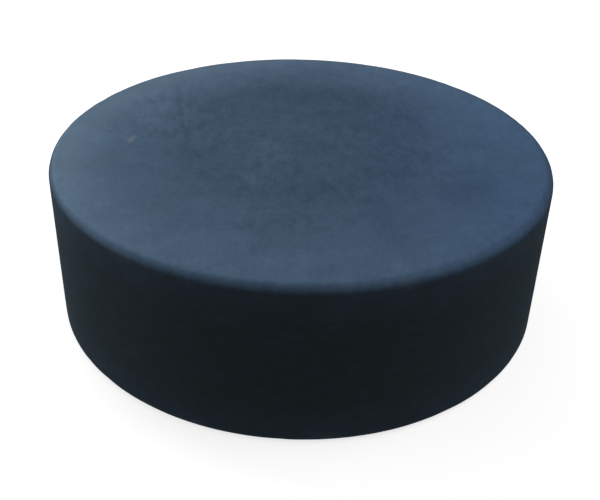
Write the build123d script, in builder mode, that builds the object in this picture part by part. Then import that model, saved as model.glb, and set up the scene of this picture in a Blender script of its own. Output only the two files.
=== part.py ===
from build123d import *

import os

# Ice-hockey puck: one compression-moulded disc of vulcanised rubber, in one piece.
#
# Millimetres, +Z up. The puck lies flat on Z = 0 with the origin in the middle of its lower face,
# so Z is its axis of symmetry. Its two faces are alike.

# ---- driving dimensions -------------------------------------------------------------------------

# Regulation size: three inches across and one inch thick.
DIAMETER = 76.2
THICKNESS = 25.4

# Each face turns into the wall through a moulded radius.
EDGE_RADIUS = 1.3

# Thick rubber shrinks as it cools, so the middle of each face sinks a little below the ring
# around it. The puck slides on that ring. A gentle slope joins the two.
SINK_DEPTH = 0.25
SINK_FLOOR_RADIUS = 15.0
SINK_RIM_RADIUS = 25.0

# ---- sizes that follow from them ----------------------------------------------------------------

WALL_RADIUS = DIAMETER / 2
MID_HEIGHT = THICKNESS / 2
SINK_LEVEL = MID_HEIGHT - SINK_DEPTH

# Half of the section is drawn here: sketch X runs outwards, and sketch Y up from mid-thickness.
SECTION_PLANE = Plane.XZ.shift_origin((0, 0, MID_HEIGHT))

# ---- the puck -----------------------------------------------------------------------------------

with BuildPart() as puck:
    with BuildSketch(SECTION_PLANE):
        with BuildLine():
            axis_line = Line((0, 0), (0, SINK_LEVEL))
            sink_floor = Line(axis_line @ 1, (SINK_FLOOR_RADIUS, SINK_LEVEL))
            slope = Spline(sink_floor @ 1, (SINK_RIM_RADIUS, MID_HEIGHT), tangents=((1, 0), (1, 0)))
            sliding_ring = Line(slope @ 1, (WALL_RADIUS, MID_HEIGHT))
            wall = Line(sliding_ring @ 1, (WALL_RADIUS, 0))
            Line(wall @ 1, axis_line @ 0)
        make_face()
        mirror(about=Plane.XZ)
    revolve(axis=Axis.Z)
    corners = puck.edges().filter_by(GeomType.CIRCLE).filter_by(lambda edge: edge.radius > SINK_RIM_RADIUS)
    fillet(corners, radius=EDGE_RADIUS)

puck.part.label = "puck"

os.makedirs("parts", exist_ok=True)
export_step(puck.part, "parts/puck.step")
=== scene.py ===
import math
from types import SimpleNamespace

import bpy
import numpy as np
from mathutils import Matrix, Vector, noise


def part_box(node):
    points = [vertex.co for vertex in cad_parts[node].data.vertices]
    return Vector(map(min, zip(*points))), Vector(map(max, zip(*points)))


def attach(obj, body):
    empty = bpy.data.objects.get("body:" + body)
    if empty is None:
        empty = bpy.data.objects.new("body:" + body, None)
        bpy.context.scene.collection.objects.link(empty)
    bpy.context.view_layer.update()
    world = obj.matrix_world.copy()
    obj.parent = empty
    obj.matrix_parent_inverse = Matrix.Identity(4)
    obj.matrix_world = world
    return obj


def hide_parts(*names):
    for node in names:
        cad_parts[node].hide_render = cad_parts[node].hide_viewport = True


# An ice-hockey puck in black rubber: one moulded disc, with its skin modelled as a detailed mesh.
# Metres, in the CAD frame: +Z up, and the puck lying on Z = 0.

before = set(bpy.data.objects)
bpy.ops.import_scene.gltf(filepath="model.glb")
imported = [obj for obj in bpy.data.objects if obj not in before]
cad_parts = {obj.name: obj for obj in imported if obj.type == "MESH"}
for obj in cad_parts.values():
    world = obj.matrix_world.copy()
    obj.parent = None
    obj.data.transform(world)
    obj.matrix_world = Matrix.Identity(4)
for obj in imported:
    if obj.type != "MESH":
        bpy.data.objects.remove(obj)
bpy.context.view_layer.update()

# ---- sizes --------------------------------------------------------------------------------------

MM = 0.001

low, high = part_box("puck")
WALL_RADIUS = (high.x - low.x) / 2
HALF_THICKNESS = (high.z - low.z) / 2
MIDDLE = (low + high) / 2

# The moulded shape, as designed: rounded edges, and a shallow sink in the middle of each face.
EDGE_RADIUS = 1.3 * MM
SINK_DEPTH = 0.25 * MM
SINK_FLOOR_RADIUS = 15 * MM
SINK_RIM_RADIUS = 25 * MM
FLAT_RADIUS = WALL_RADIUS - EDGE_RADIUS
WALL_HALF_HEIGHT = HALF_THICKNESS - EDGE_RADIUS

# How finely the skin is divided. Ring k of a face has 6k points, so its triangles are even.
FACE_RINGS = 88
EDGE_RINGS = 8
WALL_RINGS = 50
SIDES = 6

# Relief of the moulded skin: a slow swell, a finer mottle, and small dents from play on the edges.
SWELL_SIZE, SWELL_HEIGHT = 9 * MM, 0.02 * MM
MOTTLE_SIZE, MOTTLE_HEIGHT = 1.6 * MM, 0.008 * MM
DENTS_PER_EDGE = 30
DENT_WIDTHS = (0.6 * MM, 1.6 * MM)
DENT_DEPTHS = (0.01 * MM, 0.035 * MM)

# Shallow scratches across each face, in random places. The reach is how far from the middle of the face
# the middle of a scratch may lie, along X and along Y.
SCRATCHES_PER_FACE = 16
SCRATCH_REACH = 23.8 * MM
SCRATCH_LENGTHS = (4 * MM, 18 * MM)
SCRATCH_WIDTHS = (0.35 * MM, 0.6 * MM)
SCRATCH_DEPTHS = (0.004 * MM, 0.015 * MM)
WEAR_SEED = 7

# Marks that stand out on the upper face, in millimetres from its middle: where each starts and ends,
# how far it reaches to each side, and its tone, from -1 for dark to 1 for pale. They also dent the skin,
# by MARK_DEPTH where the tone is 1 or -1.
MARKS = (
    ((-21.8, 23.0), (-21.3, 17.0), 0.9, -0.20),
    ((-21.2, 16.6), (-19.9, 10.5), 0.9, -0.33),
    ((-19.8, 9.5), (-19.1, 6.0), 0.8, -0.18),
    ((-19.2, 6.8), (-17.6, 1.2), 0.7, -0.22),
    ((-16.4, -1.6), (-15.4, -4.2), 0.7, -0.18),
    ((-16.4, 10.0), (-15.4, 2.0), 1.3, -0.09),
    ((23.0, -0.5), (25.5, 4.5), 3.0, 0.06),
    ((7.4, 7.0), (9.0, 5.4), 1.4, 0.10),
    ((-5.8, 0.6), (-5.0, -2.6), 2.4, 0.06),
)
MARK_DEPTH = 0.03 * MM

# Broad soft smears on the upper face, in the same terms. They only change its colour.
SMEARS = (
    ((-26.0, 18.0), (-20.0, 5.0), 9.0, 0.20),
    ((-29.0, -7.0), (-15.0, -25.0), 9.0, -0.18),
    ((-2.0, -27.0), (10.0, -27.0), 8.0, -0.11),
    ((13.0, -24.0), (27.0, -12.0), 9.0, -0.19),
    ((-8.0, 22.0), (10.0, 20.0), 7.0, -0.12),
    ((2.0, 13.0), (11.0, 11.0), 6.0, -0.08),
    ((-6.0, 0.0), (-7.0, -10.0), 6.0, 0.11),
)

# One speck of dry dirt on the upper face, in the same terms.
SPECK_START, SPECK_END = (-26.6, 0.2), (-26.3, 1.8)
SPECK_REACH = 0.8

# The camera stands in front of the puck and looks down on it, a little rolled and tilted. Its angles are in
# degrees, and its lens and sensor in millimetres.
CAMERA_DISTANCE = 149.2 * MM
CAMERA_ELEVATION = 30.5
CAMERA_ROLL = 1.6
CAMERA_TILT = -2.0
CAMERA_LENS = 55.4
SENSOR_WIDTH = 36.0
CLIP_START, CLIP_END = 0.01, 20

# ---- mesh ---------------------------------------------------------------------------------------


def smooth_step(value, start, end):
    """0 before start, 1 after end, and a smooth rise between them."""
    t = min(max((value - start) / (end - start), 0.0), 1.0)
    return t * t * (3 - 2 * t)


def face_height(radius):
    """The height of a face above mid-thickness, lower over the sink."""
    return HALF_THICKNESS - SINK_DEPTH * (1 - smooth_step(radius, SINK_FLOOR_RADIUS, SINK_RIM_RADIUS))


def upper_rings():
    """Rings from the middle of the upper face out to the top of the wall, each with its number of points,
    its radius, its height above mid-thickness, and the angle of the skin's normal from straight up."""
    rings = []
    for k in range(FACE_RINGS + 1):
        radius = FLAT_RADIUS * k / FACE_RINGS
        rings.append((max(SIDES * k, 1), radius, face_height(radius), 0.0))
    for k in range(1, EDGE_RINGS + 1):
        lean = math.pi / 2 * k / EDGE_RINGS
        radius = FLAT_RADIUS + EDGE_RADIUS * math.sin(lean)
        height = WALL_HALF_HEIGHT + EDGE_RADIUS * math.cos(lean)
        rings.append((SIDES * FACE_RINGS, radius, height, lean))
    return rings


def all_rings():
    """Every ring of the puck, from the middle of the upper face to the middle of the lower face."""
    upper = upper_rings()
    wall = []
    for k in range(1, WALL_RINGS):
        height = WALL_HALF_HEIGHT * (1 - 2 * k / WALL_RINGS)
        wall.append((SIDES * FACE_RINGS, WALL_RADIUS, height, math.pi / 2))
    lower = [(count, radius, -height, math.pi - lean) for count, radius, height, lean in reversed(upper)]
    return upper + wall + lower


def stitch(inner, outer, steps):
    """Triangles between a ring of SIDES x steps points and the ring of SIDES x (steps + 1) round it."""
    triangles = []
    for side in range(SIDES):
        for i in range(steps + 1):
            a = inner[(side * steps + i) % len(inner)]
            b = outer[side * (steps + 1) + i]
            c = outer[(side * (steps + 1) + i + 1) % len(outer)]
            triangles.append((a, b, c))
            if i < steps:
                triangles.append((a, c, inner[(side * steps + i + 1) % len(inner)]))
    return triangles


def join_rings(rings):
    """The faces between each ring and the next, all turned outwards."""
    starts = np.cumsum([0] + [ring[0] for ring in rings])
    faces = []
    for index in range(len(rings) - 1):
        above = range(starts[index], starts[index + 1])
        below = range(starts[index + 1], starts[index + 2])
        if len(above) < len(below):
            faces += stitch(above, below, index)
        elif len(above) > len(below):
            steps = len(rings) - 2 - index
            faces += [triangle[::-1] for triangle in stitch(below, above, steps)]
        else:
            for i in range(len(above)):
                j = (i + 1) % len(above)
                faces.append((above[i], below[i], below[j], above[j]))
    return faces


def dent_depths(points, chance):
    """How deep the small dents along both edges are at each point."""
    depth = np.zeros(len(points))
    edge_radius = FLAT_RADIUS + EDGE_RADIUS * math.sqrt(0.5)
    edge_height = WALL_HALF_HEIGHT + EDGE_RADIUS * math.sqrt(0.5)
    for side in (-1, 1):
        for _ in range(DENTS_PER_EDGE):
            turn = chance.uniform(0, 2 * math.pi)
            width = chance.uniform(*DENT_WIDTHS)
            deepest = chance.uniform(*DENT_DEPTHS)
            centre = (edge_radius * math.cos(turn), edge_radius * math.sin(turn), side * edge_height)
            away = np.linalg.norm(points - centre, axis=1)
            depth += deepest * np.exp(-((away / width) ** 2))
    return depth


def stroke_depth(points, side, start, end, width, deepest):
    """How deep a stroke from start to end is at each point of the upper (1) or lower (-1) face."""
    start, end = np.array(start), np.array(end)
    run = end - start
    flat = points[:, :2]
    along = np.clip((flat - start) @ run / (run @ run), 0, 1)
    away = np.linalg.norm(flat - start - along[:, None] * run, axis=1)
    on_face = points[:, 2] * side > WALL_HALF_HEIGHT
    return on_face * deepest * np.exp(-((away / width) ** 2))


def scratch_depths(points, chance):
    """How deep the scratches on both faces, and the marks on the upper one, are at each point."""
    depth = np.zeros(len(points))
    for side in (-1, 1):
        for _ in range(SCRATCHES_PER_FACE):
            middle = chance.uniform(-SCRATCH_REACH, SCRATCH_REACH, 2)
            turn = chance.uniform(0, math.pi)
            half = np.array([math.cos(turn), math.sin(turn)]) * chance.uniform(*SCRATCH_LENGTHS) / 2
            width = chance.uniform(*SCRATCH_WIDTHS)
            deepest = chance.uniform(*SCRATCH_DEPTHS)
            depth += stroke_depth(points, side, middle - half, middle + half, width, deepest)
    for start, end, reach, tone in MARKS:
        deepest = MARK_DEPTH * abs(tone)
        depth += stroke_depth(points, 1, np.array(start) * MM, np.array(end) * MM, reach * MM, deepest)
    return depth


def relief(points):
    """How far the skin stands out at each point, before wear."""
    heights = np.empty(len(points))
    for i, point in enumerate(points):
        swell = SWELL_HEIGHT * noise.noise(Vector(point / SWELL_SIZE))
        mottle = MOTTLE_HEIGHT * noise.noise(Vector(point / MOTTLE_SIZE))
        heights[i] = swell + mottle
    return heights


def make_puck():
    """The puck's skin: the moulded shape, with its relief and its wear."""
    rings = all_rings()
    points, normals = [], []
    for count, radius, height, lean in rings:
        turns = np.arange(count) * (2 * math.pi / count)
        out = np.column_stack([np.cos(turns), np.sin(turns)])
        points.append(np.column_stack([out * radius, np.full(count, height)]))
        normals.append(np.column_stack([out * math.sin(lean), np.full(count, math.cos(lean))]))
    points, normals = np.concatenate(points), np.concatenate(normals)
    chance = np.random.default_rng(WEAR_SEED)
    wear = dent_depths(points, chance) + scratch_depths(points, chance)
    moved = points + normals * (relief(points) - wear)[:, None]
    mesh = bpy.data.meshes.new("puck_skin")
    mesh.from_pydata((moved + np.array(MIDDLE)).tolist(), [], join_rings(rings))
    mesh.shade_smooth()
    puck = bpy.data.objects.new("puck_skin", mesh)
    bpy.context.scene.collection.objects.link(puck)
    return puck


# ---- materials ----------------------------------------------------------------------------------

RUBBER_BLACK = (0.030, 0.026, 0.020, 1)
# The faces' colours from dark to pale bloom. The bloom is real; their blue is partly painted reflection of
# the cool light.
FACE_DARK = (0.012, 0.028, 0.050, 1)
FACE_PALE = (0.103, 0.125, 0.167, 1)
FACE_OLIVE = (0.042, 0.062, 0.060, 1)
# The blue that the faces go towards on the +X side: painted reflection of the cool light.
REFLECTION_BLUE = (0.014, 0.095, 0.290, 1)
# The grey of worn edges, also used for the painted sheen along one side of the rim.
SCUFF_AND_SHEEN_GREY = (0.190, 0.180, 0.170, 1)
DIRT_TAN = (0.300, 0.200, 0.150, 1)

# The rubber's material works in millimetres. Its noise has several grades, each given by its size, its
# detail and its roughness.
BORDER_NOISE = (11, 2, 0.5)
OLIVE_SPOTS = (7, 3, 0.5)
SMUDGES = (5, 3, 0.6)
MOTTLE = (1.9, 4, 0.62)
SPECKLE = (0.7, 2, 0.5)
GRAIN = (0.4, 2, 0.5)
RUBS = (1, 4, 0.6)

# How the noise is squeezed along X, Y and Z. The mottle and speckle are drawn out along Y, and the rubs
# run round the wall.
MOTTLE_SQUEEZE = (1.25, 0.65, 1.0)
RUB_SQUEEZE = (0.25, 0.25, 1.2)

# Smooth changes over the skin: where each starts and ends, and, if that isn't from 0 to 1, its values there.
# These three, for both faces, the upper face and the painted light towards the edges of the wall, go by the
# height above mid-thickness.
FACE_RISE = (11.4, 12.3)
UPPER_RISE = (11.0, 12.0)
WALL_LIGHT_RISE = (5.0, 12.0, 0.03, 0.30)

# The wear and the duller rounding of the edges go by the radius and the height above mid-thickness added up,
# which come to 49.5 where a rounding starts and ends, and to 50.0 in its middle.
EDGE_RISE = (48.6, 50.0)
ROUNDING_RISE = (49.4, 49.8)

# These go by the level of noise: the rubs and the olive spots by their own, the wear by the smudges, and the
# strength of the marks, which it breaks up, by the mottle.
RUB_LEVELS = (0.50, 0.70)
OLIVE_LEVELS = (0.48, 0.64, 0.0, 0.12)
WEAR_LEVELS = (0.45, 0.75, 0.0, 0.14)
BREAK_LEVELS = (0.35, 0.60, 0.4, 1.2)

# The dark patch on each face: its middle, where its soft border starts and ends, how far the border wanders
# in all, and the bloom and the roughness on the patch and beyond it.
PATCH_MIDDLE = (-0.5, 3.0, 0)
PATCH_BORDER = (17.0, 35.0)
PATCH_WANDER = 12.0
PATCH_BLOOM = (0.20, 0.68)
PATCH_ROUGHNESS = (0.57, 0.50)

# The rim of the faces carries a painted sheen: it is painted paler and greyer on the side that SHEEN_SIDE
# points to, where the light comes from. It rises and falls again with the radius, and rises with the
# distance towards that side. It adds RIM_SHEEN to the bloom, and goes RIM_GREY of the way to
# SCUFF_AND_SHEEN_GREY.
SHEEN_SIDE = (-0.9, 0.43, 0)
RIM_RISE = (29.0, 37.0)
RIM_FALL = (36.0, 37.3, 1.0, 0.0)
SIDE_RISE = (5.0, 35.0)
RIM_SHEEN = 0.17
RIM_GREY = 0.35

# The faces turn a little bluer towards +X, with more painted blue reflection on that side.
BLUE_RISE = (2.0, 32.0, 0.0, 0.12)

# How much each grade of noise changes the bloom, from its lowest to its highest, and how much it changes
# the pale layer on the wall, which holds the painted light and the rubs.
SMUDGE_BLOOM = 0.42
MOTTLE_BLOOM = 0.74
SPECKLE_BLOOM = 0.40
MOTTLE_WALL = 0.22
RUB_DUST = 0.07

# Hairlines on the faces: the turn, length and spacing of each set of them, how near the middle level the
# noise has to be for a line, and how much a line adds to the bloom.
HAIRLINES = ((24, 30, 5.0), (-58, 40, 6.5), (83, 34, 5.8))
HAIRLINE_NOISE = (1, 1, 0.5)
HAIRLINE_LEVEL = 0.02
HAIRLINE_BLOOM = 0.06

# How far the colour goes to DIRT_TAN in the middle of the speck.
SPECK_STRENGTH = 0.42

# The wall is rougher than the faces by this factor. The roundings add to the roughness, and the grain
# changes it, from its lowest to its highest.
WALL_ROUGHNESS = 1.2
ROUNDING_ROUGHNESS = 0.08
GRAIN_ROUGHNESS = 0.16

# The bump of the grain, and the share of the mottle in it.
BUMP_DISTANCE = 0.02 * MM
BUMP_MOTTLE = 0.6

# The vector calculations whose result is a number.
NUMBER_RESULTS = ("LENGTH", "DISTANCE", "DOT_PRODUCT")


def add_node(tree, kind, inputs=None, **settings):
    """A new node. An input that is given another node's output is linked to it."""
    made = tree.nodes.new(kind)
    for name, value in settings.items():
        setattr(made, name, value)
    for key, value in (inputs or {}).items():
        if isinstance(value, bpy.types.NodeSocket):
            tree.links.new(value, made.inputs[key])
        else:
            made.inputs[key].default_value = value
    return made


def calculate(tree, operation, *values):
    """A calculation with numbers."""
    inputs = dict(enumerate(values))
    return add_node(tree, "ShaderNodeMath", inputs, operation=operation).outputs[0]


def calculate_vector(tree, operation, *values):
    """A calculation with vectors."""
    made = add_node(tree, "ShaderNodeVectorMath", dict(enumerate(values)), operation=operation)
    return made.outputs["Value" if operation in NUMBER_RESULTS else "Vector"]


def rise(tree, value, start, end, lowest=0.0, highest=1.0):
    """A smooth change from lowest to highest as value goes from start to end."""
    inputs = {"Value": value, "From Min": start, "From Max": end, "To Min": lowest, "To Max": highest}
    return add_node(tree, "ShaderNodeMapRange", inputs, interpolation_type="SMOOTHSTEP").outputs["Result"]


def cloud(tree, place, size, detail, roughness):
    """Noise from 0 to 1 with patches of about that size, in the units of place."""
    inputs = {"Vector": place, "Scale": 1 / size, "Detail": detail, "Roughness": roughness}
    return add_node(tree, "ShaderNodeTexNoise", inputs).outputs["Fac"]


def add_swing(tree, total, level, spread):
    """The total, and up to half the spread more or less, as the level goes from 0 to 1."""
    return calculate(tree, "ADD", total, calculate(tree, "MULTIPLY_ADD", level, spread, -spread / 2))


def mix_colours(tree, amount, first, second):
    """The first colour where the amount is 0, the second where it is 1, and a blend between."""
    inputs = {0: amount, 6: first, 7: second}
    return add_node(tree, "ShaderNodeMix", inputs, data_type="RGBA").outputs[2]


def new_material(name):
    """A new material, its node tree, and the Principled shader in it."""
    material = bpy.data.materials.new(name)
    material.use_nodes = True
    tree = material.node_tree
    return material, tree, tree.nodes["Principled BSDF"]


def stroke(tree, flat, start, end, reach):
    """1 on the line from start to end, falling to 0 at the reach to each side."""
    start, end = Vector((*start, 0)), Vector((*end, 0))
    run = end - start
    here = calculate_vector(tree, "SUBTRACT", flat, start)
    along = calculate_vector(tree, "DOT_PRODUCT", here, run / run.length_squared)
    along = add_node(tree, "ShaderNodeClamp", {0: along}).outputs[0]
    foot = calculate_vector(tree, "MULTIPLY", run, along)
    away = calculate_vector(tree, "DISTANCE", here, foot)
    return rise(tree, away, 0.0, reach, 1.0, 0.0)


def hairlines(tree, place, turn, length, spacing):
    """Thin broken lines that run at turn degrees across the faces: 1 on a line and 0 off it."""
    settings = {"Vector": place, "Rotation": (0, 0, math.radians(turn)), "Scale": (length, spacing, spacing)}
    drawn = add_node(tree, "ShaderNodeMapping", settings, vector_type="TEXTURE").outputs[0]
    level = calculate(tree, "SUBTRACT", cloud(tree, drawn, *HAIRLINE_NOISE), 0.5)
    return rise(tree, calculate(tree, "ABSOLUTE", level), 0.0, HAIRLINE_LEVEL, 1.0, 0.0)


def skin_places(tree):
    """What the rubber's layers are worked out from: each point's place, and the noise there."""
    place = add_node(tree, "ShaderNodeTexCoord").outputs["Object"]
    place = calculate_vector(tree, "MULTIPLY", place, (1 / MM, 1 / MM, 1 / MM))
    x, y, z = add_node(tree, "ShaderNodeSeparateXYZ", {0: place}).outputs
    flat = add_node(tree, "ShaderNodeCombineXYZ", {0: x, 1: y}).outputs[0]
    radius = calculate_vector(tree, "LENGTH", flat)
    height = calculate(tree, "SUBTRACT", z, MIDDLE.z / MM)
    above = calculate(tree, "ABSOLUTE", height)
    rubbed = calculate_vector(tree, "MULTIPLY", place, MOTTLE_SQUEEZE)
    return SimpleNamespace(
        place=place,
        flat=flat,
        x=x,
        radius=radius,
        above=above,
        outwards=calculate(tree, "ADD", radius, above),
        face=rise(tree, above, *FACE_RISE),
        upper=rise(tree, height, *UPPER_RISE),
        smudges=cloud(tree, place, *SMUDGES),
        mottle=cloud(tree, rubbed, *MOTTLE),
        speckle=cloud(tree, rubbed, *SPECKLE),
        grain=cloud(tree, place, *GRAIN),
    )


def patch_distance(tree, skin):
    """The distance from the middle of the dark patch, uneven so that its border wanders."""
    away = calculate_vector(tree, "DISTANCE", skin.flat, PATCH_MIDDLE)
    return add_swing(tree, away, cloud(tree, skin.place, *BORDER_NOISE), PATCH_WANDER)


def painted_sheen_rim(tree, skin):
    """1 along the rim of a face on the side the light comes from, and 0 elsewhere: where the painted sheen
    goes.
    """
    sideways = calculate_vector(tree, "DOT_PRODUCT", skin.flat, SHEEN_SIDE)
    rim = calculate(tree, "MULTIPLY", rise(tree, skin.radius, *RIM_RISE), rise(tree, sideways, *SIDE_RISE))
    return calculate(tree, "MULTIPLY", rim, rise(tree, skin.radius, *RIM_FALL))


def face_bloom_and_sheen(tree, skin, from_patch, rim):
    """The thin bloom on the faces, with the painted sheen along the rim added: 0 where it is dark and 1
    where it is pale.
    """
    bloom_and_sheen = rise(tree, from_patch, *PATCH_BORDER, *PATCH_BLOOM)
    # Painted sheen: the rim on the lit side is painted paler.
    bloom_and_sheen = calculate(tree, "MULTIPLY_ADD", rim, RIM_SHEEN, bloom_and_sheen)
    bloom_and_sheen = add_swing(tree, bloom_and_sheen, skin.smudges, SMUDGE_BLOOM)
    bloom_and_sheen = add_swing(tree, bloom_and_sheen, skin.mottle, MOTTLE_BLOOM)
    bloom_and_sheen = add_swing(tree, bloom_and_sheen, skin.speckle, SPECKLE_BLOOM)
    for turn, length, spacing in HAIRLINES:
        lines = calculate(tree, "MULTIPLY", hairlines(tree, skin.place, turn, length, spacing), skin.smudges)
        bloom_and_sheen = calculate(tree, "MULTIPLY_ADD", lines, HAIRLINE_BLOOM, bloom_and_sheen)
    broken = rise(tree, skin.mottle, *BREAK_LEVELS)
    for start, end, reach, tone in MARKS + SMEARS:
        mark = calculate(tree, "MULTIPLY", stroke(tree, skin.flat, start, end, reach), skin.upper)
        mark = calculate(tree, "MULTIPLY", mark, broken)
        bloom_and_sheen = calculate(tree, "MULTIPLY_ADD", mark, tone, bloom_and_sheen)
    return bloom_and_sheen


def face_colour(tree, skin, from_patch):
    """The colour of the faces: the bloom, whose blue is partly painted reflection of the cool light, with
    painted sheen in grey along the rim, olive spots, and a side made bluer by more painted reflection.
    """
    rim = painted_sheen_rim(tree, skin)
    colour = mix_colours(tree, face_bloom_and_sheen(tree, skin, from_patch, rim), FACE_DARK, FACE_PALE)
    # Painted sheen: the same rim goes part of the way to grey, for the light's neutral sheen.
    colour = mix_colours(tree, calculate(tree, "MULTIPLY", rim, RIM_GREY), colour, SCUFF_AND_SHEEN_GREY)
    olive = rise(tree, cloud(tree, skin.place, *OLIVE_SPOTS), *OLIVE_LEVELS)
    colour = mix_colours(tree, olive, colour, FACE_OLIVE)
    # Painted reflection: the faces go bluer towards +X.
    return mix_colours(tree, rise(tree, skin.x, *BLUE_RISE), colour, REFLECTION_BLUE)


def wall_colour(tree, skin):
    """The colour of the wall: bare rubber, painted paler towards its edges as painted bounce light, smudged,
    with soft rubs round it.
    """
    # Painted light: the wall is painted paler towards both edges, standing in for bounce light from the
    # floor at the lower edge.
    wall_light_and_rubs = calculate(tree, "MULTIPLY", rise(tree, skin.above, *WALL_LIGHT_RISE), skin.smudges)
    wall_light_and_rubs = add_swing(tree, wall_light_and_rubs, skin.mottle, MOTTLE_WALL)
    rubs = cloud(tree, calculate_vector(tree, "MULTIPLY", skin.place, RUB_SQUEEZE), *RUBS)
    wall_light_and_rubs = calculate(tree, "MULTIPLY_ADD", rise(tree, rubs, *RUB_LEVELS), RUB_DUST, wall_light_and_rubs)
    return mix_colours(tree, wall_light_and_rubs, RUBBER_BLACK, FACE_PALE)


def rubber():
    """Black rubber, with a bloom on its faces that holds painted sheen and painted blue reflection, painted
    light and rubs on its wall, worn edges and a speck of dirt.
    """
    material, tree, shader = new_material("moulded_rubber")
    skin = skin_places(tree)
    from_patch = patch_distance(tree, skin)

    colour = mix_colours(tree, skin.face, wall_colour(tree, skin), face_colour(tree, skin, from_patch))
    worn = rise(tree, skin.outwards, *EDGE_RISE)
    worn = calculate(tree, "MULTIPLY", worn, rise(tree, skin.smudges, *WEAR_LEVELS))
    colour = mix_colours(tree, worn, colour, SCUFF_AND_SHEEN_GREY)
    speck = stroke(tree, skin.flat, SPECK_START, SPECK_END, SPECK_REACH)
    speck = calculate(tree, "MULTIPLY", calculate(tree, "MULTIPLY", speck, skin.upper), SPECK_STRENGTH)
    colour = mix_colours(tree, speck, colour, DIRT_TAN)
    tree.links.new(colour, shader.inputs["Base Color"])

    rough = rise(tree, from_patch, *PATCH_BORDER, *PATCH_ROUGHNESS)
    rough = calculate(tree, "MULTIPLY", rough, rise(tree, skin.face, 0.0, 1.0, WALL_ROUGHNESS, 1.0))
    rounding = rise(tree, skin.outwards, *ROUNDING_RISE)
    rough = calculate(tree, "MULTIPLY_ADD", rounding, ROUNDING_ROUGHNESS, rough)
    rough = add_swing(tree, rough, skin.grain, GRAIN_ROUGHNESS)
    tree.links.new(rough, shader.inputs["Roughness"])

    height = calculate(tree, "MULTIPLY_ADD", skin.mottle, BUMP_MOTTLE, skin.grain)
    bump = add_node(tree, "ShaderNodeBump", {"Height": height, "Strength": 1.0, "Distance": BUMP_DISTANCE})
    tree.links.new(bump.outputs["Normal"], shader.inputs["Normal"])
    return material


def studio_white():
    """The floor's matt paint, warm enough to look neutral under the cool lights, with a glow of its own that
    is stronger far from the puck, where the lights hardly reach."""
    material, tree, shader = new_material("studio_white")
    shader.inputs["Base Color"].default_value = FLOOR_COLOUR
    shader.inputs["Roughness"].default_value = FLOOR_ROUGHNESS
    shader.inputs["Specular IOR Level"].default_value = 0.0
    shader.inputs["Emission Color"].default_value = (1, 1, 1, 1)
    place = add_node(tree, "ShaderNodeTexCoord").outputs["Object"]
    away = calculate_vector(tree, "LENGTH", place)
    glow = rise(tree, away, GLOW_START, GLOW_END, GLOW_NEAR, GLOW_FAR)
    tree.links.new(glow, shader.inputs["Emission Strength"])
    return material


# ---- studio -------------------------------------------------------------------------------------

# The colour of every light, and the strength of the even light from all round.
COOL = (0.55, 0.78, 1.0)
AMBIENT = 0.19

# The floor is round and flat, and sweeps up into a backdrop.
FLOOR_RADIUS = 1.6
SWEEP_RADIUS = 0.8
SWEEP_STEPS = 12
BACKDROP_HEIGHT = 2.4
FLOOR_SIDES = 96
FLOOR_COLOUR = (0.95, 0.65, 0.50, 1)
FLOOR_ROUGHNESS = 0.9

# The floor's glow near the puck and far from it, and the distances at which it starts and stops rising.
GLOW_NEAR, GLOW_FAR = 0.75, 1.1
GLOW_START, GLOW_END = 0.1, 1.2

# The name, place, size and power of each softbox.
SOFTBOXES = (
    ("overhead_softbox", (0.0, 0.0, 0.95), 1.2, 1.5),
    ("back_left_softbox", (-0.7, 0.75, 0.6), 0.8, 7.2),
    ("back_softbox", (0.0, 1.05, 0.5), 0.8, 1.2),
    ("left_softbox", (-1.1, 0.1, 0.25), 0.8, 3.1),
    ("right_softbox", (0.7, 0.1, 0.8), 0.8, 3.1),
)


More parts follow.
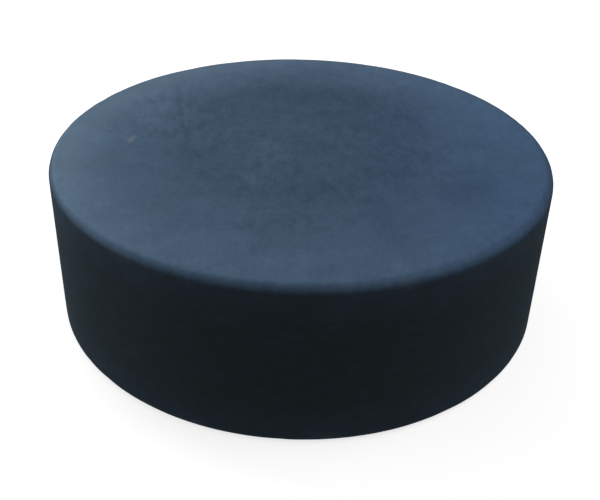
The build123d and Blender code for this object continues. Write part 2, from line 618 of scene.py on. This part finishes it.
def make_floor():
    """A pale floor that sweeps up into a backdrop all round. None of its light reaches the puck."""
    profile = [(FLOOR_RADIUS, 0.0)]
    for k in range(1, SWEEP_STEPS + 1):
        turn = math.pi / 2 * k / SWEEP_STEPS
        profile.append((FLOOR_RADIUS + SWEEP_RADIUS * math.sin(turn), SWEEP_RADIUS * (1 - math.cos(turn))))
    profile.append((FLOOR_RADIUS + SWEEP_RADIUS, BACKDROP_HEIGHT))
    points, faces = [(0, 0, 0)], []
    for radius, height in profile:
        for i in range(FLOOR_SIDES):
            turn = 2 * math.pi * i / FLOOR_SIDES
            points.append((radius * math.cos(turn), radius * math.sin(turn), height))
    for i in range(FLOOR_SIDES):
        j = (i + 1) % FLOOR_SIDES
        faces.append((0, 1 + i, 1 + j))
        for k in range(len(profile) - 1):
            start = 1 + k * FLOOR_SIDES
            faces.append((start + i, start + FLOOR_SIDES + i, start + FLOOR_SIDES + j, start + j))
    mesh = bpy.data.meshes.new("studio_floor")
    mesh.from_pydata(points, [], faces)
    mesh.shade_smooth()
    mesh.materials.append(studio_white())
    floor = bpy.data.objects.new("studio_floor", mesh)
    floor.visible_diffuse = False
    floor.visible_glossy = False
    bpy.context.scene.collection.objects.link(floor)


def make_lights():
    """Softboxes that face the puck and aren't seen themselves, and an even light from all round."""
    for name, place, size, power in SOFTBOXES:
        light = bpy.data.lights.new(name, "AREA")
        light.shape = "DISK"
        light.size = size
        light.energy = power
        light.color = COOL
        lamp = bpy.data.objects.new(name, light)
        lamp.location = place
        lamp.rotation_euler = (MIDDLE - Vector(place)).to_track_quat("-Z", "Y").to_euler()
        lamp.visible_camera = False
        bpy.context.scene.collection.objects.link(lamp)
    world = bpy.data.worlds.new("studio_ambient")
    world.use_nodes = True
    background = world.node_tree.nodes["Background"]
    background.inputs["Color"].default_value = (*COOL, 1)
    background.inputs["Strength"].default_value = AMBIENT
    bpy.context.scene.world = world


def make_camera():
    """The camera, which looks at the puck's middle before it is rolled and then tilted."""
    camera_data = bpy.data.cameras.new("camera")
    camera_data.lens = CAMERA_LENS
    camera_data.sensor_width = SENSOR_WIDTH
    camera_data.clip_start = CLIP_START
    camera_data.clip_end = CLIP_END
    camera = bpy.data.objects.new("camera", camera_data)
    elevation = math.radians(CAMERA_ELEVATION)
    back = Vector((0, -math.cos(elevation), math.sin(elevation)))
    turn = Matrix.Rotation(math.pi / 2 - elevation, 4, "X")
    turn = turn @ Matrix.Rotation(math.radians(CAMERA_ROLL), 4, "Z")
    turn = turn @ Matrix.Rotation(math.radians(CAMERA_TILT), 4, "X")
    camera.matrix_world = Matrix.Translation(MIDDLE + back * CAMERA_DISTANCE) @ turn
    bpy.context.scene.collection.objects.link(camera)
    bpy.context.scene.camera = camera


puck = make_puck()
puck.data.materials.append(rubber())
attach(puck, "root")
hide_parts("puck")

make_floor()
make_lights()
make_camera()
bpy.context.scene.view_settings.view_transform = "Standard"
